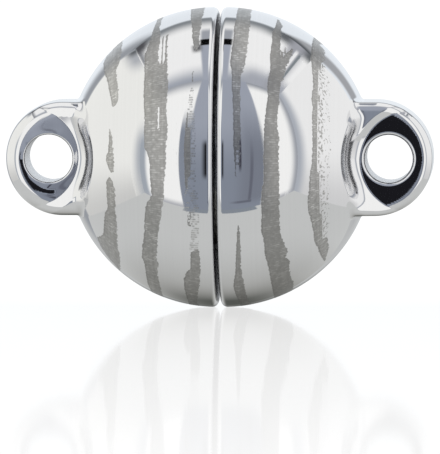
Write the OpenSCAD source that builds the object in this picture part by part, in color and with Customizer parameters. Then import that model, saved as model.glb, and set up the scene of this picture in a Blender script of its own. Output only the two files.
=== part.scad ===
// Magnetic ball clasp for a necklace or bracelet.
// Two polished steel half-balls meet at a seam. Each carries a thick eyelet lug, and a disc magnet
// glued into each half holds them closed: one magnet stands proud and plugs into the other half.
// X runs through both eyelets, -Y is the front, and the closed clasp stands on z = 0.

/* [Ball] */
// Diameter of the ball that the two halves make up
ball_d = 12; // [10:0.5:14]
// Distance from the seam's middle to the centre of each half's round
half_shift = 0.13; // [0.1:0.01:0.2]
// Width of the open seam between the halves
seam_gap = 0.12; // [0.08:0.01:0.2]
// Radius of the rounded rim on each side of the seam
rim_round = 0.25; // [0.2:0.01:0.4]

/* [Eyelet lugs] */
// Radius of the lug's round end, which is also half its height
lug_r = 2.28; // [2:0.02:2.5]
// Distance from the ball's end to the centre of the lug's round end
lug_out = 0.11; // [0:0.01:0.3]
// Thickness of the lug from front to back
lug_t = 3.8; // [3:0.1:4.2]
// Radius of the lug's rounded edges
lug_round = 0.5; // [0.3:0.05:0.6]
// Distance from the ball's end to the centre of the eye
eye_out = 0.65; // [0.55:0.01:0.75]
// Diameter of the eye that a jump ring or wire goes through
eye_d = 1.9; // [1.6:0.1:2]
// Width of the chamfer around the eye
eye_chamfer = 0.1; // [0.05:0.01:0.12]
// How far the milled recess beside each lug face reaches in from the ball's end
recess_in = 1.06; // [0.96:0.02:1.2]
// Radius of the recess's wall, seen from the front
recess_r = 2.85; // [2.6:0.05:3.2]
// Radius of the hollow corner between the recess's wall and its floor
recess_round = 0.5; // [0.3:0.05:0.6]

/* [Magnets] */
// Diameter of both disc magnets
magnet_d = 7; // [5:0.5:7]
// Thickness of both disc magnets
magnet_t = 2.5; // [2:0.1:3]
// Width of the chamfer on each magnet's edges
magnet_chamfer = 0.2; // [0.1:0.05:0.3]
// How far the plug magnet stands out of the left half's rim
plug_proud = 0.8; // [0.5:0.1:1]
// Clearance around, behind and between the magnets
magnet_gap = 0.05; // [0.03:0.01:0.1]

/* [Hidden] */
$fn = 128;
steel = [0.78, 0.79, 0.8];
nickel = [0.6, 0.61, 0.63];
ball_r = ball_d / 2;
rim_x = seam_gap / 2;
// A round's centre lies a little less than one radius in from the face that it starts on,
// so that the arc crosses the face at a clear angle.
round_share = 0.99;
// The rim's arc ends on the ball a tenth of its radius before its own widest point.
rim_end_share = 0.1;
rim_mid_x = rim_x + round_share * rim_round;
rim_end_x = rim_mid_x - rim_end_share * rim_round;
rim_end_r = sqrt(pow(ball_r, 2) - pow(rim_end_x - half_shift, 2));
rim_mid_r = rim_end_r - rim_round * sqrt(1 - pow(rim_end_share, 2));
// The rim's widest point touches the ground.
ball_z = rim_end_r;
pole_x = half_shift + ball_r;
lug_x = pole_x + lug_out;
// The lug's straight neck starts this deep inside the ball.
neck_depth = 1.6;
eye_x = pole_x + eye_out;
recess_x = pole_x - recess_in + recess_r;
eye_r = eye_d / 2;
// The eye's cutter runs past the lug's faces, and its chamfer a little past each face.
// From there it flares slightly, where it grazes the ball beside the lug.
eye_past = 1;
chamfer_past = 0.02;
eye_flare = 0.08;
magnet_r = magnet_d / 2;
well_r = magnet_r + magnet_gap;
// Both magnets' faces, and the floors of the wells that they are glued into.
plug_face_x = plug_proud - rim_x;
plug_back_x = plug_face_x - magnet_t;
socket_face_x = plug_face_x + magnet_gap;
socket_back_x = socket_face_x + magnet_t;
plug_well_floor = magnet_gap - plug_back_x;
socket_well_floor = socket_back_x + magnet_gap;

// What is left of a square corner outside a round of radius r, with the round's centre at the origin.
module corner_waste(r) {
  difference() {
    square(2 * r);
    circle(r = r);
  }
}

// Section of a half-ball: distance from the long axis to the right, distance from the seam upward.
module half_section() {
  difference() {
    intersection() {
      translate([0, half_shift]) circle(r = ball_r);
      translate([0, rim_x]) square(ball_d);
    }
    translate([rim_mid_r, rim_mid_x]) mirror([0, 1]) corner_waste(rim_round);
  }
}

// Section of the lug: its height along X and its thickness along Y, with four rounded corners.
module lug_section() {
  round_x = lug_r - round_share * lug_round;
  round_y = lug_t / 2 - round_share * lug_round;
  difference() {
    square([2 * lug_r, lug_t], center = true);
    for (side = [0, 1], end = [0, 1]) {
      mirror([side, 0]) mirror([0, end]) translate([round_x, round_y]) corner_waste(lug_round);
    }
  }
}

// Solid lug that points along X: a round end, and a straight neck that runs into the ball.
module lug() {
  translate([lug_x, 0, ball_z]) rotate([90, 0, 0]) {
    rotate_extrude(angle = 180, start = -90) intersection() {
      lug_section();
      translate([0, -lug_t]) square([2 * lug_r, 2 * lug_t]);
    }
    translate([-neck_depth, 0, 0]) rotate([90, 0, 90]) linear_extrude(neck_depth) lug_section();
  }
}

// Cutter for the eye: a drilled hole from front to back, chamfered at both mouths.
module eye_cutter() {
  wall_y = lug_t / 2 - eye_chamfer;
  mouth_r = eye_r + eye_chamfer + chamfer_past;
  mouth_y = lug_t / 2 + chamfer_past;
  end_r = mouth_r + eye_flare;
  end_y = lug_t / 2 + eye_past;
  outline = [
    [0, -end_y], [end_r, -end_y], [mouth_r, -mouth_y], [eye_r, -wall_y],
    [eye_r, wall_y], [mouth_r, mouth_y], [end_r, end_y], [0, end_y]
  ];
  translate([eye_x, 0, ball_z]) rotate([90, 0, 0]) rotate_extrude() polygon(outline);
}

// Cutter for the recess in the ball, level with the lug's front face.
module recess_cutter() {
  depth = ball_r - lug_t / 2;
  translate([recess_x, -lug_t / 2, ball_z]) rotate([90, 0, 0]) rotate_extrude() {
    square([recess_r - recess_round, depth]);
    translate([0, recess_round]) square([recess_r, depth - recess_round]);
    translate([recess_r - recess_round, recess_round]) circle(r = recess_round);
  }
}

// Solid of revolution about the clasp's long axis, from x = 0 outward.
module turn_on_axis() {
  translate([0, 0, ball_z]) rotate([0, 90, 0]) rotate_extrude() children();
}

// Half-ball with its lug and eye on the +X side, and a magnet well of the given depth.
// The recess is milled into the ball beside the lug, in front and behind.
module clasp_half(well_floor) {
  difference() {
    union() {
      difference() {
        turn_on_axis() half_section();
        recess_cutter();
        mirror([0, 1, 0]) recess_cutter();
      }
      lug();
    }
    eye_cutter();
    turn_on_axis() square([well_r, well_floor]);
  }
}

// Disc magnet about the long axis, with chamfered edges, from back_x to face_x.
module disc_magnet(back_x, face_x) {
  outline = [
    [0, back_x], [magnet_r - magnet_chamfer, back_x], [magnet_r, back_x + magnet_chamfer],
    [magnet_r, face_x - magnet_chamfer], [magnet_r - magnet_chamfer, face_x], [0, face_x]
  ];
  turn_on_axis() polygon(outline);
}

// Left half: the plug magnet sits in its well.
module left_half() {
  color(steel) mirror([1, 0, 0]) clasp_half(plug_well_floor);
}

// Magnet that stands proud of the left half's rim.
module plug_magnet() {
  color(nickel) disc_magnet(plug_back_x, plug_face_x);
}

// Right half: its well also takes the end of the plug magnet.
module right_half() {
  color(steel) clasp_half(socket_well_floor);
}

// Magnet set back inside the right half.
module socket_magnet() {
  color(nickel) disc_magnet(socket_face_x, socket_back_x);
}

left_half();
plug_magnet();
right_half();
socket_magnet();
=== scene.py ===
import bmesh
import bpy
import math
import numpy as np
from mathutils import Matrix, Vector


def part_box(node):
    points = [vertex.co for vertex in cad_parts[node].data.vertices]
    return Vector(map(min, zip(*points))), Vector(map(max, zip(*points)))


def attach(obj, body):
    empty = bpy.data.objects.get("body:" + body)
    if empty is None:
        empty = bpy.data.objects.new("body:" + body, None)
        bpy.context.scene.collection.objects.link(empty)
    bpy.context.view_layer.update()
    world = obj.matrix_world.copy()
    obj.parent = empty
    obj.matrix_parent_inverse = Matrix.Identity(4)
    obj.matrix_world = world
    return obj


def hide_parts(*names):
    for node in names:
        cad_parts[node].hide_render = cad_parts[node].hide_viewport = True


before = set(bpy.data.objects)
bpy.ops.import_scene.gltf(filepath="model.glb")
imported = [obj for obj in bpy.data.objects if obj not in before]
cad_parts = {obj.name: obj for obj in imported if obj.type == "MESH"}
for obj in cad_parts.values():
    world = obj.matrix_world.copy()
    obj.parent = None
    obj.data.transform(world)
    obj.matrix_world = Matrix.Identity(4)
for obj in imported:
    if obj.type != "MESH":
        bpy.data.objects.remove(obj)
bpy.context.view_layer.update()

# The camera
# It stands in front, a little to the right and a little above the clasp, and looks along +Y.
# Lengths on the clasp are in millimetres from the ball's centre until a mesh is finished.
MM = 0.001
half_low, half_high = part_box("right_half")
axis_height = (half_low.z + half_high.z) / 2
ball_centre = Vector((0, 0, axis_height))
view_azimuth = math.radians(2.33)
view_elevation = math.radians(2.4)
view_distance = 444
photo_width = 440
photo_height = 454
pixels_per_mm = 25
ball_pixel = (220.4, 157)
sensor = 36
toward_camera = Vector((
    math.sin(view_azimuth) * math.cos(view_elevation),
    -math.cos(view_azimuth) * math.cos(view_elevation),
    math.sin(view_elevation),
))
view_right = Vector((math.cos(view_azimuth), math.sin(view_azimuth), 0))
view_up = toward_camera.cross(view_right)
aim = (
    view_right * (photo_width / 2 - ball_pixel[0]) - view_up * (photo_height / 2 - ball_pixel[1])
) / pixels_per_mm
eye_point = aim + toward_camera * view_distance
camera_data = bpy.data.cameras.new("camera")
camera_data.sensor_width = sensor
camera_data.lens = sensor * view_distance * pixels_per_mm / photo_height
camera = bpy.data.objects.new("camera", camera_data)
bpy.context.scene.collection.objects.link(camera)
camera.location = ball_centre + eye_point * MM
camera.rotation_mode = "QUATERNION"
camera.rotation_quaternion = (-toward_camera).to_track_quat("-Z", "Y")
camera_data.clip_start = 0.01
camera_data.clip_end = 20
bpy.context.scene.camera = camera
bpy.context.scene.view_settings.view_transform = "Standard"

# The left half
# A half-ball of polished stainless steel with its eyelet lug, turned and milled from one piece.
# Matt stripes are etched round the ball by laser, and a well in the rim takes the plug magnet.
ball_r = 6.0
half_shift = 0.13
rim_x = half_low.x / MM
rim_round = 0.25
rim_face = 0.8
well_r = 3.55
well_edge = 0.08
well_gap = 0.05
lug_r = 2.28
lug_half = 1.9
lug_x = half_high.x / MM - lug_r
# The recess is milled into the ball beside the lug. Its cutter's floor lies below the lug's face,
# inside the steel, so that only its wall and the hollow corner at its foot show.
recess_r = 2.85
recess_in = 1.06
recess_x = half_shift + ball_r - recess_in + recess_r
recess_floor = 1.3
recess_edge = 0.2
recess_round = 0.5
# Above and below the recess, the neck meets the ball in a tighter corner.
neck_round = 0.16
neck_z = 1.6
neck_change = 0.6
eye_out = 0.65
eye_x = half_shift + ball_r + eye_out
eye_r = 0.95
turn_steps = 416
rim_steps = 14
ball_rings = 46
# Rings across the lug and the ball: how many lie between one angle from the long axis and the next.
ring_bands = [(0, 0), (12.8, 16), (15, 30), (19.6, 40), (24, 44), (39, 34)]


def smooth_step(share):
    """Turns a share from 0 to 1 into one that starts and ends gently."""
    share = np.clip(share, 0, 1)
    return share * share * (3 - 2 * share)


def arc(x, r, radius, start, end, count):
    """Points on an arc about (x, r), from one angle to another, in degrees."""
    angles = np.radians(np.linspace(start, end, count))
    return [(x + radius * math.cos(a), r + radius * math.sin(a)) for a in angles]


def turned(outline, steps):
    """Turns an outline of (distance along X, radius) about the long axis."""
    made = bmesh.new()
    verts = [made.verts.new((x, 0, r)) for x, r in outline]
    edges = [made.edges.new(pair) for pair in zip(verts, verts[1:])]
    bmesh.ops.spin(
        made, geom=verts + edges, cent=(0, 0, 0), axis=(1, 0, 0),
        angle=math.tau, steps=steps, use_merge=True,
    )
    bmesh.ops.remove_doubles(made, verts=made.verts, dist=1e-5)
    bmesh.ops.recalc_face_normals(made, faces=made.faces)
    return made


def round_union(a, b, radius):
    """Joins two distance fields with a hollow corner of the given radius."""
    inner = np.hypot(np.maximum(radius - a, 0), np.maximum(radius - b, 0))
    return np.maximum(radius, np.minimum(a, b)) - inner


def round_common(a, b, radius):
    """Keeps what two distance fields share, with an edge rounded to the given radius."""
    outer = np.hypot(np.maximum(radius + a, 0), np.maximum(radius + b, 0))
    return np.minimum(-radius, np.maximum(a, b)) + outer


def face_rise(x, z, seat):
    """How far the lug's face lies above the round seat that the eye is drilled in: beyond the
    seat's edge it climbs by a steep step, and then gently."""
    beyond = np.maximum(np.hypot(x - seat["x"], z - seat["z"]) - seat["r"], 0)
    heights = [-1, 0, 1]
    steep = np.interp(z, heights, seat["slopes"]) * beyond
    return np.minimum(steep, np.interp(z, heights, seat["steps"]) + seat["gentle"] * beyond)


def skin_field(p, seat):
    """About the distance from the half's outer skin, in millimetres, negative inside the steel."""
    x, y, z = p[:, 0], np.abs(p[:, 1]), p[:, 2]
    ball = np.sqrt((x - half_shift) ** 2 + y ** 2 + z ** 2) - ball_r
    recess = np.maximum(np.hypot(x - recess_x, z) - recess_r, recess_floor - y)
    body = round_common(ball, -recess, recess_edge)
    lug_edge = seat["edge"]
    outline = np.where(x > lug_x, np.hypot(x - lug_x, z), np.abs(z)) - (lug_r - lug_edge)
    face = y - face_rise(x, z, seat) - lug_half
    side = face - seat["ground"] + lug_edge
    lug = np.minimum(np.maximum(outline, side), 0)
    lug = lug + np.hypot(np.maximum(outline, 0), np.maximum(side, 0)) - lug_edge
    lug = np.maximum(lug, face)
    beside = smooth_step((np.abs(z) - neck_z) / neck_change)
    return round_union(body, lug, recess_round + (neck_round - recess_round) * beside)


def field_slope(p, seat):
    """Unit direction in which the skin's field grows, which is the skin's normal."""
    step = 0.04
    slope = np.stack([
        skin_field(p + step * axis, seat) - skin_field(p - step * axis, seat) for axis in np.eye(3)
    ], axis=1)
    return slope / np.linalg.norm(slope, axis=1, keepdims=True)


def half_mesh(well_floor, seat):
    """The half on the +X side: turned in one pass, then its polar cap drawn out into the lug."""
    rim_mid_x = rim_x + rim_round
    reach = ball_r - rim_round
    rim_mid_r = math.sqrt(reach ** 2 - (rim_mid_x - half_shift) ** 2)
    meet = math.degrees(math.acos((rim_mid_x - half_shift) / reach))
    cap_angle = ring_bands[-1][0]
    outline = [(well_floor, 0), (well_floor, well_r * 0.5), (well_floor, well_r)]
    outline += [(well_floor * 0.5, well_r), (rim_x + well_edge, well_r)]
    outline += [(rim_x, well_r + well_edge), (rim_x, rim_mid_r - rim_face)]
    outline += arc(rim_mid_x, rim_mid_r, rim_round, 180, meet, rim_steps)
    outline += arc(half_shift, 0, ball_r, meet, cap_angle, ball_rings)[1:]
    for (low, _), (high, count) in reversed(list(zip(ring_bands, ring_bands[1:]))):
        outline += arc(half_shift, 0, ball_r, high, low, count + 1)[1:]
    made = turned(outline, turn_steps)

    # Each point of the cap moves along its ray from the round's centre to where the skin crosses it.
    centre = np.array([half_shift, 0, 0])
    places = np.array([v.co for v in made.verts])
    rays = places - centre
    lengths = np.linalg.norm(rays, axis=1)
    in_cap = rays[:, 0] > lengths * math.cos(math.radians(cap_angle + 0.5))
    in_cap &= np.abs(lengths - ball_r) < 1e-4
    rays = rays[in_cap] / lengths[in_cap, None]
    deepest = 3.0
    farthest = 10.0
    halvings = 40
    near = np.full(len(rays), deepest)
    far = np.full(len(rays), farthest)
    for _ in range(halvings):
        middle = (near + far) / 2
        inside = skin_field(rays * middle[:, None] + centre, seat) < 0
        near = np.where(inside, middle, near)
        far = np.where(inside, far, middle)
    places[in_cap] = rays * near[:, None] + centre
    for vert, place in zip(made.verts, places):
        vert.co = place
    return made


# The round at the eye's edge stops a few degrees short of the lug's face, so that it meets the face at
# a clear angle. Just above the face the drill widens, and it flares a little up to its ends.
drill_stop = -7
drill_lift = 0.004
drill_clear = 0.02
drill_past = 0.5
drill_flare = 0.1
drill_edge_steps = 12
drill_turn_steps = 128


def eye_drill(eye_edge):
    """The drill that cuts the eye from front to back and rounds its edges."""
    edge = arc(lug_half - eye_edge, eye_r + eye_edge, eye_edge, -90, drill_stop, drill_edge_steps)
    end = lug_half + drill_past
    clear_r = eye_r + eye_edge + drill_clear
    outline = [(end, 0), (end, clear_r + drill_flare), (lug_half + drill_lift, clear_r)] + edge[::-1]
    outline += [(-x, r) for x, r in reversed(outline)]
    made = turned(outline, drill_turn_steps)
    quarter = Matrix.Rotation(math.pi / 2, 3, "Z")
    bmesh.ops.rotate(made, verts=made.verts, cent=(0, 0, 0), matrix=quarter)
    bmesh.ops.translate(made, verts=made.verts, vec=(eye_x, 0, 0))
    return made


def drilled(made, drill):
    """Cuts the drill's shape out of a mesh."""
    blank = bpy.data.objects.new("blank", bpy.data.meshes.new("blank"))
    tool = bpy.data.objects.new("tool", bpy.data.meshes.new("tool"))
    made.to_mesh(blank.data)
    drill.to_mesh(tool.data)
    for holder in (blank, tool):
        bpy.context.scene.collection.objects.link(holder)
    cut = blank.modifiers.new("cut", "BOOLEAN")
    cut.object = tool
    cut.operation = "DIFFERENCE"
    cut.solver = "EXACT"
    result = blank.evaluated_get(bpy.context.evaluated_depsgraph_get())
    made.clear()
    made.from_mesh(result.data)
    drill.free()
    for holder in (blank, tool):
        mesh = holder.data
        bpy.data.objects.remove(holder)
        bpy.data.meshes.remove(mesh)
    return made


def finished(name, made, side):
    """Sets a mesh made about the ball's centre in its place, in metres, as a new piece."""
    if side < 0:
        bmesh.ops.scale(made, verts=made.verts, vec=(-1, 1, 1))
        bmesh.ops.reverse_faces(made, faces=made.faces)
    bmesh.ops.scale(made, verts=made.verts, vec=(MM, MM, MM))
    bmesh.ops.translate(made, verts=made.verts, vec=ball_centre)
    mesh = bpy.data.meshes.new(name)
    made.to_mesh(mesh)
    made.free()
    piece = bpy.data.objects.new(name, mesh)
    bpy.context.scene.collection.objects.link(piece)
    return piece


# The stripes, charted on the front: how each is etched and how light it is, then rows of its
# height in the picture and its left and right edge there.
left_stripes = [
    ("solid", 1.3, [
        (41.4, 122.8, 123.2), (46.8, 112.8, 121.7), (51.3, 109.5, 121.7), (55.7, 107, 120.5),
        (63.8, 103.5, 119.5), (69, 103.5, 116.3), (73.6, 104.3, 116.5), (80, 107, 116.8),
        (91.4, 109.2, 118.6), (99.5, 111, 118.4), (104.4, 111.7, 116.8), (106.8, 113, 113.4),
    ]),
    ("solid", 1.0, [
        (128.3, 109.4, 109.8), (136.8, 109, 111.7), (150.2, 108.3, 113), (160, 105.6, 113.9),
        (168, 108.3, 113.9), (173.4, 111.7, 112.1),
    ]),
    ("solid", 0.9, [
        (176.5, 109, 109.4), (181.4, 106.3, 112.8), (190.4, 106.5, 114.8), (199, 106.8, 115.2),
        (208, 107.9, 114.8), (213.7, 104.7, 115.3), (221.6, 104.3, 116.6), (234, 103.3, 116.9),
        (237, 97, 117.2), (246.4, 100.8, 117.4), (251.4, 104, 119), (259.7, 110, 120.3),
        (264.7, 114.5, 120.3), (270.5, 119.8, 120.3),
    ]),
    ("solid", 0.85, [
        (21.8, 157, 161.4), (27, 154.5, 159.6), (35.2, 151.6, 160.1), (43, 149.4, 160.5),
        (49.5, 147, 158.8), (55.7, 144.5, 158.5), (62, 144.5, 158.3), (66, 144.5, 162.3),
        (70, 144.5, 167.1), (73.6, 144.5, 167.7), (87, 144, 168.6), (98, 143.6, 166.8),
        (105, 144, 166.6), (106.8, 144, 158.2), (118, 144.5, 158), (132, 144.2, 157.4),
        (134, 144, 166.8), (148.4, 144.5, 165.9), (154.6, 148, 165.9), (163.6, 149.4, 166),
        (172.5, 149.8, 164.8), (186, 150.7, 163.9), (194.8, 151.6, 163.9), (200, 149.3, 163.4),
        (202, 147.1, 163), (208, 145.4, 162), (217, 144.5, 160.5), (230.5, 144.5, 158.3),
        (239.8, 143.5, 157.3), (246.4, 142.4, 157.3), (258, 142.1, 156.3), (263.8, 144.7, 158.4),
        (274.6, 146, 157.3), (282.9, 147.6, 159.7), (290.4, 151, 161.3), (295.4, 153, 163),
    ]),
    ("solid", 0.85, [
        (98, 156, 166.8), (107, 160.3, 166.6), (118, 160.2, 167), (125.4, 159.9, 167.5),
        (133, 159.6, 167), (140, 156, 166.6),
    ]),
    ("solid", 0.7, [
        (35, 166, 168.6), (46.8, 165.4, 167.2), (60, 164.8, 167.2), (66, 162, 167.3), (70, 160, 167.3),
    ]),
    ("solid", 0.9, [
        (12, 191, 204), (20, 190.9, 201.6), (28.9, 192.2, 200.7), (37.9, 192.2, 199.4),
        (46.8, 194, 199.4), (51.7, 196.1, 196.5),
    ]),
    ("solid", 0.8, [(70.9, 192.1, 193.1), (82.5, 192, 193.4)]),
    ("lines", 0.8, [
        (86, 191.4, 193.4), (94, 189.2, 193.8), (100, 188.6, 192.6), (108, 187.6, 191.8),
        (112, 187.2, 191.8),
    ]),
    ("solid", 0.7, [
        (108, 187.8, 190), (118, 186.4, 191), (136, 184.6, 191.5), (149.5, 183.8, 192),
        (172.5, 184.5, 191.5), (186, 185.2, 190), (191, 186.5, 188),
    ]),
    ("lines", 0.8, [
        (106, 188, 193), (118, 187, 195.4), (150, 187, 195.4), (186, 187, 195.5), (194, 187, 195),
    ]),
    ("lines", 0.8, [(189, 184.6, 190.6), (203, 183.4, 189.6), (211, 184, 188.4)]),
    ("lines", 0.8, [
        (191, 190, 197.6), (216, 192.4, 198.6), (236, 191, 198.6), (245, 189.5, 198.6),
        (252, 189.5, 198.6),
    ]),
    ("dots", 0.8, [(212, 187.2, 190.6), (226, 187.6, 191)]),
    ("solid", 0.85, [
        (247, 190.5, 198), (258, 190.7, 199.9), (269.7, 190.3, 200.3), (271, 186.6, 200),
        (279.6, 183.7, 199.9), (286.2, 184.1, 199.3), (295.4, 186.2, 197.8), (301, 188, 197),
    ]),
]
right_stripes = [
    ("solid", 1.05, [
        (14, 236.9, 250.7), (18.9, 236.4, 250.7), (27.9, 233.8, 249.4), (36.8, 233.8, 248.9),
        (48.4, 232, 247.6), (63.6, 230, 244.9), (68, 231, 244), (77, 232, 240.9), (85.9, 231.5, 240.9),
        (94.8, 232.4, 240), (110, 232.9, 240.9), (117, 233.3, 240), (128, 233.3, 240.4),
        (143, 233.3, 239.6), (150, 234, 236.9), (177.9, 235.3, 235.7),
    ]),
    ("solid", 0.7, [(143, 237.2, 239.6), (150, 238.4, 240), (167, 239.3, 239.6)]),
    ("solid", 0.75, [
        (224.1, 238.1, 238.5), (234.5, 237, 239.8), (251.7, 236.1, 240.7), (268.9, 235.5, 240.8),
        (275.8, 234.8, 242.4), (286.1, 233.3, 244.7), (294.7, 235.7, 246.4), (301.6, 239.5, 249.5),
    ]),
    ("solid", 0.6, [
        (19.8, 277.3, 279), (26.1, 275.7, 282.4), (32.3, 272.1, 281), (41.3, 272.1, 280.6),
        (56.4, 269.9, 281), (67, 270.4, 282.9), (77, 268.6, 282.5), (85.9, 267.2, 280.6),
        (94.8, 267.7, 279.7), (103.8, 266.8, 278.8), (117, 265, 277.5), (130.5, 264, 277.5),
        (139.5, 263.9, 279), (150, 263.9, 278.7), (160, 263.2, 278.6), (181.4, 263.9, 279.3),
        (186, 262.3, 279.3), (199.5, 261, 279.3), (217, 261.5, 279.2), (231, 261, 279.9),
        (238.8, 263.4, 282), (248.2, 264.5, 286.5), (251.7, 264.8, 287.8), (256.8, 265.4, 285.5),
        (262, 267.1, 290.4), (267.2, 268.4, 289), (277.5, 270.1, 291.2), (281.8, 271, 293.8),
        (288.7, 272.3, 293), (295.6, 274, 292),
    ]),
    ("solid", 0.75, [
        (49.5, 291, 294.5), (54, 285.5, 292.6), (60, 281, 289.6), (67, 280, 286), (81, 279, 283),
    ]),
    ("solid", 1.05, [
        (40.4, 315.2, 315.6), (44, 312, 318.5), (50.2, 311.4, 324.8), (59.1, 310.5, 324.8),
        (63.6, 311.4, 322.1), (72.5, 312.3, 321.7), (85.9, 313.2, 319.9), (99.3, 311.4, 321.7),
        (108, 312.8, 319), (117, 311.9, 319.5), (126, 312.3, 320.4), (145.7, 312.5, 320.4),
        (160, 311.9, 319), (177, 309.6, 321.3), (194.8, 308.3, 321.3), (200, 307.2, 321.8),
        (210.6, 307.9, 322.2), (217, 310.3, 323.7), (225.9, 312, 325.7), (234.5, 313.9, 324.5),
        (239.6, 314, 327.8), (247.4, 317.5, 328.9), (253.4, 319.7, 327.4), (261.2, 324.6, 325),
    ]),
    ("dots", 0.85, [
        (66, 319, 325), (74, 318, 328), (86, 317, 329), (100, 318, 330), (130, 317, 330),
        (160, 316, 330), (190, 318, 329.5), (215, 320, 329), (236, 322, 327.5),
    ]),
]
# Stripes on the back: degrees over the top from the front, then the left and right edge in millimetres.
back_tone = 0.8
left_back_stripes = [
    [(72, -4.25, -3.9), (90, -4.3, -3.9), (105, -4.2, -3.95), (115, -4.1, -4.05)],
    [
        (72, -2.56, -2.35), (80, -2.5, -2.3), (96, -2.52, -2.2), (120, -2.6, -2.1),
        (145, -2.55, -2.2), (160, -2.45, -2.4),
    ],
    [
        (205, -2.85, -2.8), (215, -2.9, -2.6), (235, -2.75, -2.35), (255, -2.8, -2.2),
        (275, -2.68, -2.22), (290, -2.73, -2.28),
    ],
    [(70, -1.09, -0.66), (80, -1.13, -0.6), (100, -1.2, -0.6), (125, -1.1, -0.7), (140, -1.0, -0.95)],
    [
        (200, -1.15, -1.1), (215, -1.25, -0.95), (240, -1.3, -0.8), (265, -1.2, -0.75),
        (286, -1.23, -0.86), (295, -1.27, -0.8),
    ],
    [(130, -3.5, -3.45), (150, -3.6, -3.3), (180, -3.65, -3.2), (215, -3.5, -3.25), (240, -3.4, -3.38)],
    [(150, -1.75, -1.7), (172, -1.85, -1.5), (195, -1.8, -1.45), (222, -1.7, -1.65)],
    [(225, -4.3, -4.28), (240, -4.5, -4.2), (262, -4.4, -4.1), (275, -4.25, -4.2)],
]
right_back_stripes = [
    [
        (69, 0.72, 1.28), (78, 0.72, 1.26), (100, 0.75, 1.3), (130, 0.7, 1.2), (155, 0.8, 1.1),
        (170, 0.9, 0.95),
    ],
    [(220, 0.85, 0.95), (235, 0.75, 1.15), (260, 0.8, 1.3), (280, 0.85, 1.25), (288, 0.8, 1.2)],
    [
        (190, 2.45, 2.5), (205, 2.3, 2.6), (230, 2.2, 2.75), (255, 2.1, 2.8), (275, 2.2, 2.85),
        (290, 2.2, 2.9),
    ],
    [(75, 3.72, 3.95), (90, 3.75, 4.1), (110, 3.7, 4.0), (125, 3.75, 3.85)],
    [(105, 1.95, 2.0), (130, 1.8, 2.15), (160, 1.75, 2.1), (178, 1.85, 1.9)],
    [(130, 3.35, 3.4), (155, 3.2, 3.6), (185, 3.15, 3.5), (215, 3.3, 3.4)],
    [(180, 4.3, 4.35), (205, 4.1, 4.45), (240, 4.15, 4.5), (262, 4.3, 4.35)],
]
# How a stripe is etched: a closed matt area, loose lines or loose dots.
stripe_kinds = ["solid", "lines", "dots"]


def on_ball(column, row, side):
    """Angle about the long axis and place along it of a point of the picture, on one half's ball."""
    centre = Vector((side * half_shift, 0, 0))
    across = (column - photo_width / 2) / pixels_per_mm
    down = (row - photo_height / 2) / pixels_per_mm
    ray = (aim + view_right * across - view_up * down - eye_point).normalized()
    nearest = (centre - eye_point).dot(ray)
    miss = (eye_point + ray * nearest - centre).length
    place = eye_point + ray * (nearest - math.sqrt(max(ball_r ** 2 - miss ** 2, 0)))
    return math.atan2(place.z, -place.y), place.x


def stripe_edges(stripes, back_stripes, side):
    """Each stripe's kind and tone, and its left and right edge as rows of (angle, place along the axis)."""
    for kind, tone, rows in stripes:
        lefts = [on_ball(left, row, side) for row, left, right in rows]
        rights = [on_ball(right, row, side) for row, left, right in rows]
        yield kind, tone, np.array(lefts)[::-1], np.array(rights)[::-1]
    for rows in back_stripes:
        lefts = [(math.radians(turn), left) for turn, left, right in rows]
        rights = [(math.radians(turn), right) for turn, left, right in rows]
        yield "solid", back_tone, np.array(lefts), np.array(rights)


def read(elements, name):
    """Where a mesh's points or faces lie, in millimetres from the ball's centre."""
    places = np.zeros(len(elements) * 3, np.float32)
    elements.foreach_get(name, places)
    return (places.reshape(-1, 3).astype(float) - np.array(ball_centre)) / MM


def write(mesh, name, values):
    """Stores one value for each point of a mesh as an attribute."""
    mesh.attributes.new(name, "FLOAT", "POINT").data.foreach_set("value", values.astype(np.float32))


# Distances from a stripe's edge are kept between the first two of these. A point that lies off the ball
# by less than the third counts as on it.
etch_outside = -0.6
etch_inside = 0.3
ball_limit = 2e-3


def etch(piece, side, stripes, back_stripes):
    """Writes how far each point lies inside the left and the right edge of the stripe it is in or
    nearest to, in millimetres, and that stripe's kind and tone, as attributes of the half's mesh."""
    mesh = piece.data
    places = read(mesh.vertices, "co")
    from_centre = np.linalg.norm(places - [side * half_shift, 0, 0], axis=1)
    on_skin = np.abs(from_centre - ball_r) < ball_limit
    on_skin &= places[:, 0] * side > rim_x + rim_round * 0.5
    angles = np.arctan2(places[:, 2], -places[:, 1])
    inside_left = np.full(len(places), -1.0)
    inside_right = np.full(len(places), -1.0)
    kinds = np.zeros(len(places))
    tones = np.ones(len(places))
    for kind, tone, lefts, rights in stripe_edges(stripes, back_stripes, side):
        low = min(lefts[0, 0], rights[0, 0])
        high = max(lefts[-1, 0], rights[-1, 0])
        opposite = (low + high) / 2 - math.pi
        turn = opposite + np.mod(angles - opposite, math.tau)
        from_end = np.minimum(turn - low, high - turn) * ball_r
        from_left = np.minimum(places[:, 0] - np.interp(turn, lefts[:, 0], lefts[:, 1]), from_end)
        from_right = np.minimum(np.interp(turn, rights[:, 0], rights[:, 1]) - places[:, 0], from_end)
        nearer = np.minimum(from_left, from_right) > np.minimum(inside_left, inside_right)
        inside_left = np.where(nearer, from_left, inside_left)
        inside_right = np.where(nearer, from_right, inside_right)
        kinds = np.where(nearer, stripe_kinds.index(kind), kinds)
        tones = np.where(nearer, tone, tones)
    inside_left = np.where(on_skin, np.clip(inside_left, etch_outside, etch_inside), etch_outside)
    inside_right = np.where(on_skin, np.clip(inside_right, etch_outside, etch_inside), etch_outside)
    write(mesh, "etch_left", inside_left)
    write(mesh, "etch_right", inside_right)
    write(mesh, "etch_kind", kinds)
    write(mesh, "etch_tone", tones)


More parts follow.
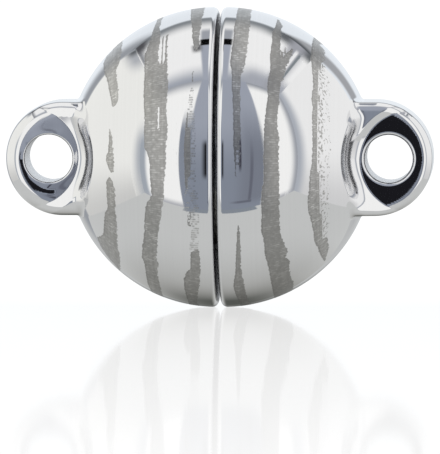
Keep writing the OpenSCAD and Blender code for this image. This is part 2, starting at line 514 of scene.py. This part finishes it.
# The hand-polished lug face leans and has faint waves, so many radians a millimetre along X and Z.
# It is true along a narrow band that curves round the eye's lower, outer side.
waves_across = (3, 7)
waves_up = (6, -4)
band_x = 6.66
band_z = -0.16
band_r = 1.17
band_width = 0.09
band_start = -0.2
band_fade = 0.1


def leaned(skin, places, seat):
    """The skin's normals with those of the lug's flat face tipped by the seat's lean: across, up,
    more with the distance from the eye's centre, and in waves."""
    x, z = places[:, 0], places[:, 2]
    flat = smooth_step((np.abs(skin[:, 1]) - 0.96) / 0.04)
    flat *= np.hypot(x - seat["x"], z - seat["z"]) < seat["r"]
    from_band = np.abs(np.hypot(x - band_x, z - band_z) - band_r)
    band = smooth_step(1.5 - from_band / band_width)
    band *= smooth_step((x - band_x - band_start) / band_fade) * smooth_step(-z / band_fade)
    flat *= 1 - band
    lean_x, lean_z, crown, wave = seat["lean"]
    tipped = skin.copy()
    across = np.sin(waves_across[0] * x + waves_across[1] * z)
    up = np.sin(waves_up[0] * x + waves_up[1] * z)
    tipped[:, 0] += flat * (lean_x + crown * (x - eye_x) + wave * across)
    tipped[:, 2] += flat * (lean_z + crown * z + wave * up)
    return tipped / np.linalg.norm(tipped, axis=1, keepdims=True)


def eye_normals(places, eye_edge):
    """The normals of the eye's wall and of its rounded edges."""
    away = places - [eye_x, 0, 0]
    away[:, 1] = 0
    from_axis = np.linalg.norm(away, axis=1)
    away /= np.maximum(from_axis, 1e-6)[:, None]
    across = np.minimum(from_axis - (eye_r + eye_edge), 0)
    outward = np.maximum(np.abs(places[:, 1]) - (lug_half - eye_edge), 0)
    normals = away * across[:, None]
    normals[:, 1] = outward * np.sign(places[:, 1])
    return normals / np.maximum(np.linalg.norm(normals, axis=1, keepdims=True), 1e-6)


# The wheel reaches neither the recess's wall nor the corner at its foot, so these stay duller.
dull_width = 0.3
dull_start = 1.2
dull_fade = 0.2
ball_fade = 0.02


def in_recess(places):
    """How far each point lies in the recess and near its wall, from 0 to 1."""
    from_wall = np.abs(np.hypot(places[:, 0] - recess_x, places[:, 2]) - recess_r)
    below_ball = ball_r - np.linalg.norm(places - [half_shift, 0, 0], axis=1)
    share = smooth_step(1.3 - from_wall / dull_width)
    share *= smooth_step((np.abs(places[:, 1]) - dull_start) / dull_fade)
    share *= smooth_step(below_ball / ball_fade)
    return share


# A face is part of the eye where it lies near the eye's axis and off the skin by more than eye_limit. It
# is part of the rim's face or the well where it lies off the skin by more than inner_limit.
eye_limit = 1e-3
inner_limit = 0.03
sharp_angle = math.radians(40)


def finish_skin(piece, side, seat):
    """Gives the skin, the eye's wall and its rounded edges their exact normals, marks the duller
    recess, and gives the rim's face, the well and the eye's wall the second material."""
    mesh = piece.data
    mesh.shade_smooth()
    mesh.set_sharp_from_angle(angle=sharp_angle)
    places = read(mesh.vertices, "co") * [side, 1, 1]
    middles = read(mesh.polygons, "center") * [side, 1, 1]
    corners = np.zeros(len(mesh.loops), np.int32)
    mesh.loops.foreach_get("vertex_index", corners)
    sizes = np.zeros(len(mesh.polygons), np.int32)
    mesh.polygons.foreach_get("loop_total", sizes)
    face_of = np.repeat(np.arange(len(sizes)), sizes)

    eye_edge = seat["eye_edge"]
    off_skin = np.abs(skin_field(middles, seat))
    from_eye = np.hypot(middles[:, 0] - eye_x, middles[:, 2])
    in_eye = (from_eye < eye_r + eye_edge * 0.97) & (middles[:, 0] > lug_x - lug_r)
    in_eye &= off_skin > eye_limit
    inner = (off_skin > inner_limit) & ~in_eye
    inner |= middles[:, 0] < rim_x + rim_round
    skin = leaned(field_slope(places, seat), places, seat)
    eye = eye_normals(places, eye_edge)
    normals = np.where(in_eye[face_of][:, None], eye[corners], skin[corners])
    # A normal of nought leaves a corner as smooth shading has it.
    normals[inner[face_of]] = 0
    mesh.normals_split_custom_set((normals * [side, 1, 1]).astype(np.float32))
    write(mesh, "dull", in_recess(places))

    in_well = inner & (np.hypot(middles[:, 1], middles[:, 2]) < well_r + 0.01)
    on_wall = in_eye & (np.abs(middles[:, 1]) < lug_half - eye_edge)
    turned_faces = in_well | on_wall | (middles[:, 0] < rim_x + 0.02)
    mesh.polygons.foreach_set("material_index", turned_faces.astype(np.int32))


# How the left lug's face is finished by hand. The eye's round seat has its centre at x and z, and the
# radius r. Beyond it the face climbs with the slopes up to the steps, each given at the bottom, middle
# and top, and from there it climbs gently.
# The lug's edges are rounded by edge, and its face is then ground down by ground. The eye's edges are
# rounded by eye_edge. The lean says how far the face tips across and up, and how crowned and wavy it is.
left_seat = {
    "x": 7.56,
    "z": 0.04,
    "r": 1.97,
    "slopes": (0.45, 0.35, 0.4),
    "steps": (0.2, 0.2, 0.3),
    "gentle": 0,
    "edge": 0.74,
    "ground": 0.02,
    "eye_edge": 0.1,
    "lean": (-0.17, 0.1, 0.1, 0.03),
}
plug_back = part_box("plug_magnet")[0].x / MM
left_made = half_mesh(well_gap - plug_back, left_seat)
left_made = drilled(left_made, eye_drill(left_seat["eye_edge"]))
left_piece = finished("left_half_steel", left_made, -1)
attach(left_piece, "plug_half")
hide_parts("left_half")


def add(tree, kind, *inputs, **settings):
    """Adds a shader node and fills or links its inputs in order; None leaves one alone."""
    made = tree.nodes.new("ShaderNode" + kind)
    for name, value in settings.items():
        setattr(made, name, value)
    for socket, value in zip(made.inputs, inputs):
        if isinstance(value, bpy.types.NodeSocket):
            tree.links.new(value, socket)
        elif value is not None:
            socket.default_value = value
    return made


def worked(tree, operation, *inputs):
    """The result of a Math node."""
    return add(tree, "Math", *inputs, operation=operation).outputs[0]


def scaled(tree, colour, factor):
    """A colour times a value."""
    return add(tree, "VectorMath", colour, None, None, factor, operation="SCALE").outputs[0]


def stored(tree, name):
    """A value that the mesh stores for each point."""
    return add(tree, "Attribute", attribute_name=name).outputs["Fac"]


def ramp(tree, value, low, high, start=0.0, end=1.0):
    """A value that goes smoothly from start to end as another goes from low to high."""
    made = add(tree, "MapRange", value, low, high, start, end, interpolation_type="SMOOTHSTEP")
    return made.outputs[0]


def between(tree, share, first, second):
    """A value between two others."""
    return worked(tree, "MULTIPLY_ADD", share, worked(tree, "SUBTRACT", second, first), first)


def tinted(tree, share, first, second):
    """A colour between two others."""
    made = add(tree, "Mix", share, data_type="RGBA")
    for socket, value in zip((made.inputs[6], made.inputs[7]), (first, second)):
        if isinstance(value, bpy.types.NodeSocket):
            tree.links.new(value, socket)
        else:
            socket.default_value = (*value, 1)
    return made.outputs[2]


def new_material(name):
    """A metal with its node tree and its Principled shader."""
    made = bpy.data.materials.new(name)
    made.use_nodes = True
    shader = made.node_tree.nodes["Principled BSDF"]
    shader.inputs["Metallic"].default_value = 1
    return made, made.node_tree, shader


# Fine marks that turning and polishing leave, which vary along one way only.
marks_per_metre = 9000.0
marks = bpy.data.node_groups.new("turning_marks", "ShaderNodeTree")
for name in ("Along", "Marks per metre", "Amount"):
    marks.interface.new_socket(name, in_out="INPUT", socket_type="NodeSocketFloat")
marks.interface.new_socket("Shade", in_out="OUTPUT", socket_type="NodeSocketFloat")
given = marks.nodes.new("NodeGroupInput").outputs
coarse = add(marks, "TexNoise", None, given[0], given[1], 4.0, 0.7, noise_dimensions="1D").outputs[0]
swing = worked(marks, "MULTIPLY", worked(marks, "SUBTRACT", coarse, 0.5), given[2])
shade = worked(marks, "ADD", 1.0, swing)
marks.links.new(shade, marks.nodes.new("NodeGroupOutput").inputs[0])


def marks_shade(tree, along, amount):
    """The shade of turning marks in a material, about 1."""
    made = tree.nodes.new("ShaderNodeGroup")
    made.node_tree = marks
    tree.links.new(along, made.inputs[0])
    made.inputs[1].default_value = marks_per_metre
    made.inputs[2].default_value = amount
    return made.outputs[0]


# Mirror-polished steel, and the matt stripes: rows of short laser lines that run along the clasp.
hatch_pitch = 0.1
strokes_per_metre = 3000.0
grains_per_metre = 9000.0
blotches_per_metre = 1800.0
polish_colour = (0.8, 0.8, 0.81)
polish_roughness = 0.035
recess_roughness = 0.2
matt_dark = (0.25, 0.245, 0.237)
matt_light = (0.86, 0.855, 0.84)
matt_roughness = 0.33
steel, tree, shader = new_material("polished_steel_etched")
coords = add(tree, "TexCoord").outputs["Object"]
place = add(tree, "SeparateXYZ", coords)
height = worked(tree, "SUBTRACT", place.outputs[2], axis_height)
turn = worked(tree, "ARCTAN2", height, worked(tree, "MULTIPLY", place.outputs[1], -1.0))
line = worked(tree, "MULTIPLY", turn, ball_r / hatch_pitch)
line_number = worked(tree, "FLOOR", line)
chance = add(tree, "TexWhiteNoise", None, line_number, noise_dimensions="1D").outputs["Value"]
other_chance = worked(tree, "FRACT", worked(tree, "MULTIPLY", chance, 17.3))
grain = add(tree, "TexNoise", coords, None, grains_per_metre, 2.0, 0.6).outputs[0]
blotch = add(tree, "TexNoise", coords, None, blotches_per_metre, 3.0, 0.6).outputs[0]
grain_shift = worked(tree, "MULTIPLY", worked(tree, "SUBTRACT", grain, 0.5), 0.08)
inside_left = stored(tree, "etch_left")
inside_right = stored(tree, "etch_right")
kind = stored(tree, "etch_kind")
tone = stored(tree, "etch_tone")
# Each laser line starts and ends a little inside or outside the stripe's edge.
left_shift = worked(tree, "MULTIPLY_ADD", chance, 0.02, worked(tree, "SUBTRACT", grain_shift, 0.01))
right_shift = worked(tree, "MULTIPLY_ADD", other_chance, 0.05, worked(tree, "SUBTRACT", grain_shift, 0.025))
from_left = worked(tree, "ADD", inside_left, left_shift)
from_right = worked(tree, "ADD", inside_right, right_shift)
nearest_edge = worked(tree, "MINIMUM", from_left, from_right)
inside = ramp(tree, nearest_edge, -0.016, 0.016)
# Each line is a stroke that gets lighter and darker along its way, with a darker gap on each side.
stroke_along = worked(tree, "MULTIPLY", place.outputs[0], strokes_per_metre)
stroke_place = add(tree, "CombineXYZ", stroke_along, line_number, 0.0).outputs[0]
stroke = add(tree, "TexNoise", stroke_place, None, 1.7, 1.0, 0.5).outputs[0]
across_line = worked(tree, "ABSOLUTE", worked(tree, "SUBTRACT", worked(tree, "FRACT", line), 0.5))
crest = ramp(tree, across_line, 0.1, 0.5, 1.0, 0.0)
# In a stripe of loose lines or dots, only the strongest of them show.
line_strength = worked(tree, "MULTIPLY_ADD", crest, 0.7, 0.1)
loose_lines = worked(tree, "MULTIPLY", ramp(tree, stroke, 0.4, 0.62), line_strength)
thinning = worked(tree, "MULTIPLY_ADD", inside_left, -0.5, 0.1)
loose_dots = ramp(tree, worked(tree, "ADD", grain, thinning), 0.52, 0.6)
is_solid = ramp(tree, kind, 0.4, 0.6, 1.0, 0.0)
is_dots = ramp(tree, kind, 1.4, 1.6)
cover = between(tree, is_dots, loose_lines, loose_dots)
cover = between(tree, is_solid, cover, 1.0)
etched = worked(tree, "MULTIPLY", inside, cover)
# A stripe's lightness comes from its strokes, its grain and the turning marks, and falls at its edges.
patches = ramp(tree, blotch, 0.35, 0.65, 0.3, 1.0)
strong = worked(tree, "MULTIPLY", ramp(tree, stroke, 0.42, 0.7, 0.04, 0.5), patches)
light = worked(tree, "MULTIPLY_ADD", strong, crest, 0.22)
light = worked(tree, "MULTIPLY_ADD", worked(tree, "SUBTRACT", grain, 0.5), 0.4, light)
light = worked(tree, "MULTIPLY", light, marks_shade(tree, place.outputs[0], 0.9))
left_line = ramp(tree, from_left, 0.015, 0.075, 0.45, 1.0)
right_line = ramp(tree, worked(tree, "MULTIPLY_ADD", blotch, 0.04, from_right), 0.02, 0.06, 0.6, 1.0)
light = worked(tree, "MULTIPLY", light, worked(tree, "MULTIPLY", left_line, right_line))
light = worked(tree, "MULTIPLY", light, tone)
matt = tinted(tree, light, matt_dark, matt_light)
polish = scaled(tree, polish_colour, marks_shade(tree, place.outputs[0], 0.05))
tree.links.new(tinted(tree, etched, polish, matt), shader.inputs["Base Color"])
bare_roughness = worked(tree, "MULTIPLY_ADD", stored(tree, "dull"), recess_roughness, polish_roughness)
tree.links.new(between(tree, etched, bare_roughness, matt_roughness), shader.inputs["Roughness"])

# The rim's face, the well and the eye's wall are bright from the cutting tool, with fine rings.
turned_colour = (0.62, 0.62, 0.63)
turned_depth = 0.00001
turned_steel, tree, shader = new_material("turned_steel")
place = add(tree, "SeparateXYZ", add(tree, "TexCoord").outputs["Object"])
height = worked(tree, "SUBTRACT", place.outputs[2], axis_height)
depth_squared = worked(tree, "MULTIPLY", place.outputs[1], place.outputs[1])
squares = worked(tree, "MULTIPLY_ADD", height, height, depth_squared)
along = worked(tree, "ADD", worked(tree, "SQRT", squares), place.outputs[0])
rings = marks_shade(tree, along, 0.5)
tree.links.new(scaled(tree, turned_colour, rings), shader.inputs["Base Color"])
tree.links.new(ramp(tree, rings, 0.85, 1.15, 0.35, 0.2), shader.inputs["Roughness"])
bump = add(tree, "Bump", 0.3, turned_depth)
tree.links.new(rings, bump.inputs["Height"])
tree.links.new(bump.outputs[0], shader.inputs["Normal"])

for material in (steel, turned_steel):
    left_piece.data.materials.append(material)
etch(left_piece, -1, left_stripes, left_back_stripes)
finish_skin(left_piece, -1, left_seat)

# The plug magnet
# A nickel-plated disc magnet, pressed and glued into the left half's well so that it stands proud.
# Its edges are rounded by the plating, and its face is satin from tumbling.
magnet_round = 0.2
disc_steps = 160


def disc_piece(name, node):
    """A magnet disc in its node's place, with rounded edges."""
    low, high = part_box(node)
    back = low.x / MM
    face = high.x / MM
    radius = (high.z - low.z) / 2 / MM
    outline = [(back, 0), (back, radius * 0.5)]
    outline += arc(back + magnet_round, radius - magnet_round, magnet_round, 180, 90, 8)
    outline += arc(face - magnet_round, radius - magnet_round, magnet_round, 90, 0, 8)
    outline += [(face, radius * 0.5), (face, 0)]
    piece = finished(name, turned(outline, disc_steps), 1)
    piece.data.shade_smooth()
    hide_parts(node)
    return piece


# Satin nickel with soft cloudy patches and a very fine peel.
clouds_per_metre = 900.0
peel_per_metre = 6000.0
peel_depth = 0.00002
nickel_dark = (0.52, 0.51, 0.49)
nickel_light = (0.68, 0.67, 0.65)
nickel, tree, shader = new_material("nickel_plate")
coords = add(tree, "TexCoord").outputs["Object"]
cloud = add(tree, "TexNoise", coords, None, clouds_per_metre, 4.0, 0.6).outputs[0]
peel = add(tree, "TexNoise", coords, None, peel_per_metre, 2.0, 0.5).outputs[0]
tree.links.new(tinted(tree, cloud, nickel_dark, nickel_light), shader.inputs["Base Color"])
tree.links.new(ramp(tree, cloud, 0.3, 0.7, 0.18, 0.32), shader.inputs["Roughness"])
bump = add(tree, "Bump", 0.15, peel_depth)
tree.links.new(peel, bump.inputs["Height"])
tree.links.new(bump.outputs[0], shader.inputs["Normal"])
plug_piece = disc_piece("plug_magnet_nickel", "plug_magnet")
plug_piece.data.materials.append(nickel)
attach(plug_piece, "plug_half")

# The right half
# The same steel half-ball turned round, with a deeper well for both magnets' share of the joint.
# Its stripes are its own.
right_seat = {
    "x": 7.63,
    "z": -0.1,
    "r": 2.0,
    "slopes": (0.55, 0.4, 0.55),
    "steps": (0.35, 0.3, 0.12),
    "gentle": 0.12,
    "edge": 0.5,
    "ground": 0.02,
    "eye_edge": 0.16,
    "lean": (-0.004, 0, 0, 0.002),
}
socket_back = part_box("socket_magnet")[1].x / MM
right_made = half_mesh(socket_back + well_gap, right_seat)
right_made = drilled(right_made, eye_drill(right_seat["eye_edge"]))
right_piece = finished("right_half_steel", right_made, 1)
for material in (steel, turned_steel):
    right_piece.data.materials.append(material)
etch(right_piece, 1, right_stripes, right_back_stripes)
finish_skin(right_piece, 1, right_seat)
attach(right_piece, "socket_half")
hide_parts("right_half")

# The socket magnet
# The same disc magnet, set back inside the right half so that the plug magnet enters the well.
socket_piece = disc_piece("socket_magnet_nickel", "socket_magnet")
socket_piece.data.materials.append(nickel)
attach(socket_piece, "socket_core")

# The studio
# A white cloth tent stands round the clasp and lights it from every side.
# Its front is open for the camera, and a slit with a dark grip runs from there into the roof.
# Places in the tent count from the ball's centre, and one unit of them is as long as room, in metres.
room = 0.5
layer_gap = 0.01
tent_left = -0.83
tent_right = 0.9
tent_front = -0.5
tent_back = 1.02
tent_roof = 1.0
tent_floor = -0.4
walls = {
    "front": lambda across, up: (across, tent_front, up),
    "back": lambda across, up: (across, tent_back, up),
    "left": lambda across, up: (tent_left, across, up),
    "right": lambda across, up: (tent_right, across, up),
    "roof": lambda across, up: (across, up, tent_roof),
    "floor": lambda across, up: (across, up, tent_floor),
}


def cloth(name, wall, across, up, glow, fade=(0, 0, 0, 0), layer=0):
    """A glowing rectangle on one wall of the tent, between two places across it and two up it.

    It fades out over a share of its width at each end, in the order low and high across, low and
    high up. A higher layer lies nearer to the clasp.
    """
    made = bmesh.new()
    corners = [(across[0], up[0]), (across[1], up[0]), (across[1], up[1]), (across[0], up[1])]
    inward = room * (1 - layer_gap * layer)
    verts = [made.verts.new(ball_centre + Vector(walls[wall](*corner)) * inward) for corner in corners]
    face = made.faces.new(verts)
    layer_uv = made.loops.layers.uv.new("UVMap")
    for loop, uv in zip(face.loops, ((0, 0), (1, 0), (1, 1), (0, 1))):
        loop[layer_uv].uv = uv
    mesh = bpy.data.meshes.new(name)
    made.to_mesh(mesh)
    made.free()
    sheet = bpy.data.objects.new(name, mesh)
    bpy.context.scene.collection.objects.link(sheet)
    sheet.visible_camera = False
    material = bpy.data.materials.new(name)
    material.use_nodes = True
    tree = material.node_tree
    tree.nodes.clear()
    light = add(tree, "Emission", (*glow, 1), 1)
    result = light.outputs[0]
    if any(fade):
        uv = add(tree, "SeparateXYZ", add(tree, "UVMap", uv_map="UVMap").outputs[0])
        shown = 1
        for share, axis, end in zip(fade, (0, 0, 1, 1), (0, 1, 0, 1)):
            if share:
                inside = ramp(tree, uv.outputs[axis], end, end + share * (1 - 2 * end))
                shown = worked(tree, "MULTIPLY", inside, shown)
        clear = add(tree, "BsdfTransparent")
        result = add(tree, "MixShader", shown, clear.outputs[0], light.outputs[0]).outputs[0]
        material.cycles.emission_sampling = "NONE"
    tree.links.new(result, add(tree, "OutputMaterial").inputs[0])
    mesh.materials.append(material)


wide = (tent_left, tent_right)
tall = (tent_floor, tent_roof)
deep = (tent_front, tent_back)
cloth("front_cloth", "front", wide, tall, (1.07, 1.07, 1.05))
cloth("back_cloth", "back", wide, tall, (0.9, 0.95, 1.0))
cloth("left_cloth", "left", deep, tall, (1.0, 1.0, 0.96))
cloth("right_cloth", "right", deep, tall, (1.0, 1.0, 0.99))
cloth("roof_cloth", "roof", wide, deep, (1.04, 1.04, 1.03))
cloth("floor_cloth", "floor", wide, deep, (0.64, 0.65, 0.64))
# The floor falls into shade towards the back, and so do the feet of the back and side walls.
cloth("floor_shade", "floor", (-0.5, 0.5), (-0.2, 1.02), (0.4, 0.4, 0.38), (0.45, 0.45, 0.5, 0), 1)
cloth("floor_dark", "floor", (-0.26, 0.24), (0.15, 1.02), (0.1, 0.105, 0.095), (0.49, 0.49, 0.5, 0), 2)
cloth("back_low", "back", wide, (-0.4, 0.15), (0.56, 0.57, 0.57), (0, 0, 0, 0.7), 1)
cloth("back_foot", "back", (-0.25, 0.2), (-0.4, 0), (0.15, 0.155, 0.145), (0.45, 0.45, 0, 0.7), 2)
cloth("right_foot", "right", deep, (-0.4, 0.1), (0.74, 0.74, 0.74), (0, 0, 0, 1), 1)
cloth("left_foot", "left", deep, (-0.4, 0), (0.7, 0.7, 0.68), (0, 0, 0, 1), 1)
# Shade along the seams: roof to front, roof to back, roof to sides, and the four uprights.
cloth("roof_front_shade", "roof", wide, (-0.5, -0.16), (0.4, 0.43, 0.49), (0, 0, 0, 1), 1)
cloth("front_roof_shade", "front", (-0.83, 0.1), (0.66, 1.0), (0.4, 0.42, 0.46), (0, 0.3, 1, 0), 0.5)
cloth("front_roof_shade_right", "front", (-0.05, 0.9), (0.76, 1.0), (0.35, 0.37, 0.41), (0.3, 0, 1, 0), 0.7)
cloth("roof_front_shade_right", "roof", (0.15, 0.9), (-0.5, -0.05), (0.45, 0.47, 0.52), (0.3, 0, 0, 0.8), 2)
cloth("roof_back_shade", "roof", wide, (0.52, 1.02), (0.26, 0.28, 0.3), (0, 0, 0.95, 0), 1)
cloth("roof_back_corner", "roof", (0.25, 0.9), (0.55, 1.02), (0.15, 0.16, 0.17), (0.4, 0, 0.8, 0), 1.5)
cloth("back_roof_shade", "back", wide, (0.86, 1.0), (0.26, 0.28, 0.3), (0, 0, 0.9, 0), 2)
cloth("back_roof_corner", "back", (0.3, 0.9), (0.76, 1.0), (0.12, 0.13, 0.14), (0.4, 0, 0.9, 0), 2.3)
cloth("roof_right_shade", "roof", (0.5, 0.86), deep, (0.42, 0.43, 0.47), (0.4, 0.5, 0, 0), 2.5)
cloth("left_roof_shade", "left", (0.1, 1.02), (0.72, 1.0), (0.5, 0.52, 0.55), (0.5, 0, 0.8, 0), 1)
cloth("left_back_corner", "left", (0.6, 1.02), (0.8, 1.0), (0.12, 0.13, 0.14), (0.8, 0, 0.8, 0), 1.2)
cloth("roof_left_shade", "roof", (-0.83, -0.68), deep, (0.32, 0.33, 0.35), (0.2, 0.8, 0, 0), 2)
cloth("roof_left_seam", "roof", (-0.83, -0.6), (0.5, 1.02), (0.1, 0.1, 0.11), (0.1, 0.6, 0.7, 0), 3)
cloth("back_left_shade", "back", (-0.83, -0.38), tall, (0.36, 0.38, 0.41), (0, 0.75, 0, 0), 1.5)
cloth("back_right_shade", "back", (0.38, 0.86), tall, (0.42, 0.43, 0.45), (0.3, 0.3, 0.2, 0), 1.5)
cloth("left_back_shade", "left", (0.9, 1.02), tall, (0.4, 0.42, 0.45), (0.9, 0, 0, 0), 1.5)
cloth("front_left_shade", "front", (-0.83, -0.64), (-0.4, 0.5), (0.42, 0.46, 0.51), (0, 0.5, 0, 0.4), 1)
cloth("left_front_shade", "left", (-0.5, -0.34), (-0.4, 0.5), (0.5, 0.53, 0.57), (0, 1, 0, 0.4), 1)
cloth("right_front_shade", "right", (-0.5, -0.3), tall, (0.48, 0.51, 0.56), (0, 0.9, 0, 0), 2)
cloth("front_right_shade", "front", (0.68, 0.9), tall, (0.4, 0.42, 0.46), (0.9, 0, 0, 0), 1)
cloth("front_foot", "front", wide, (-0.4, -0.32), (0.5, 0.51, 0.54), (0, 0, 0, 1), 1)
# The opening and its sill, what stands in the room beyond it, and the slit in the roof with its grip.
cloth("sill", "floor", (-0.26, 0.3), (-0.5, -0.45), (0.27, 0.3, 0.34), (0.04, 0.04, 0, 0), 1)
cloth("opening", "front", (-0.18, 0.32), tall, (0.39, 0.42, 0.49), (0.04, 0.04, 0, 0), 1)
cloth("opening_low", "front", (-0.18, 0.35), (-0.4, 0.3), (0.26, 0.29, 0.35), (0.04, 0.04, 0, 0.6), 2)
cloth("opening_left", "front", (-0.26, -0.16), (-0.4, 0.45), (0.27, 0.3, 0.36), (0.1, 0, 0, 0.3), 1.2)
cloth("opening_right", "front", (0.06, 0.345), (-0.38, 0.55), (0.22, 0.24, 0.29),
      (0.5, 0.12, 0.1, 0.6), 2.5)
cloth("stand_side", "front", (0.2, 0.24), (-0.34, 0.2), (0.15, 0.16, 0.2), (0.4, 0.4, 0, 0.5), 3)
cloth("stand_foot", "front", (0.05, 0.24), (-0.345, -0.31), (0.15, 0.16, 0.2), (0.5, 0, 0.4, 0.4), 3)
cloth("stand_arm", "front", (0.12, 0.145), (-0.1, 0.24), (0.06, 0.06, 0.08), (0.3, 0.3, 0.2, 0.4), 3)
cloth("camera_body", "front", (-0.095, 0.025), (-0.15, 0.15), (0.012, 0.012, 0.015),
      (0.35, 0.12, 0.2, 0.2), 3)
cloth("roof_slit", "roof", (-0.17, 0.08), (-0.5, 0.2), (0.42, 0.45, 0.52), (0.12, 0.12, 0, 0.1), 3)
cloth("roof_grip_back", "roof", (-0.17, 0.08), (0.26, 0.62), (0.4, 0.42, 0.46), (0.15, 0.15, 0, 0.5), 3)
cloth("roof_grip_foot", "roof", (-0.26, -0.12), (-0.02, 0.2), (0.1, 0.1, 0.11), (0.4, 0.4, 0.5, 0.3), 3.5)
cloth("roof_grip", "roof", (-0.17, 0.08), (0.13, 0.28), (0.005, 0.005, 0.005), (0.1, 0.1, 0.15, 0.15), 4)
# The piping along the roof's right seam, light with a dark edge.
cloth("roof_piping", "roof", (0.66, 0.72), (-0.3, 0.8), (1.0, 1.0, 1.0), (0.3, 0.3, 0.2, 0.2), 3)
cloth("roof_piping_shade", "roof", (0.72, 0.77), (-0.3, 0.8), (0.25, 0.28, 0.3), (0.3, 0.3, 0.2, 0.2), 3)

# Beyond the tent is a dim bluish room, while the camera itself sees a white backdrop.
room_glow = (0.5, 0.54, 0.6, 1)
room_strength = 0.5
backdrop_strength = 1.2
world = bpy.data.worlds.new("studio")
bpy.context.scene.world = world
world.use_nodes = True
tree = world.node_tree
tree.nodes.clear()
path = add(tree, "LightPath")
room_light = add(tree, "Background", room_glow, room_strength)
backdrop = add(tree, "Background", (1, 1, 1, 1), backdrop_strength)
seen = add(tree, "MixShader", path.outputs["Is Camera Ray"], room_light.outputs[0], backdrop.outputs[0])
tree.links.new(seen.outputs[0], add(tree, "OutputWorld").inputs[0])

# The floor
# A plain white floor, glossy enough to mirror the clasp faintly close to where it stands.
floor_size = 4
floor_glow = 1.06
mirror_start = -0.17
mirror_end = 0.02
mirror_share = 0.34
mirror_roughness = 0.05
floor_mesh = bpy.data.meshes.new("floor")
made = bmesh.new()
bmesh.ops.create_grid(made, x_segments=1, y_segments=1, size=floor_size)
made.to_mesh(floor_mesh)
made.free()
floor = bpy.data.objects.new("floor", floor_mesh)
bpy.context.scene.collection.objects.link(floor)
floor.visible_glossy = False
floor.visible_diffuse = False
floor.visible_shadow = False
material = bpy.data.materials.new("floor")
material.use_nodes = True
tree = material.node_tree
tree.nodes.clear()
glow = add(tree, "Emission", (1, 1, 1, 1), floor_glow)
mirror = add(tree, "BsdfAnisotropic", (1, 1, 1, 1), mirror_roughness)
coords = add(tree, "SeparateXYZ", add(tree, "TexCoord").outputs["Object"])
in_front = add(tree, "MapRange", coords.outputs[1], mirror_start, 0, 0, mirror_share).outputs[0]
behind = add(tree, "MapRange", coords.outputs[1], 0, mirror_end, 1, 0).outputs[0]
mirrored = worked(tree, "MULTIPLY", in_front, behind)
mixed = add(tree, "MixShader", mirrored, glow.outputs[0], mirror.outputs[0])
tree.links.new(mixed.outputs[0], add(tree, "OutputMaterial").inputs[0])
floor_mesh.materials.append(material)
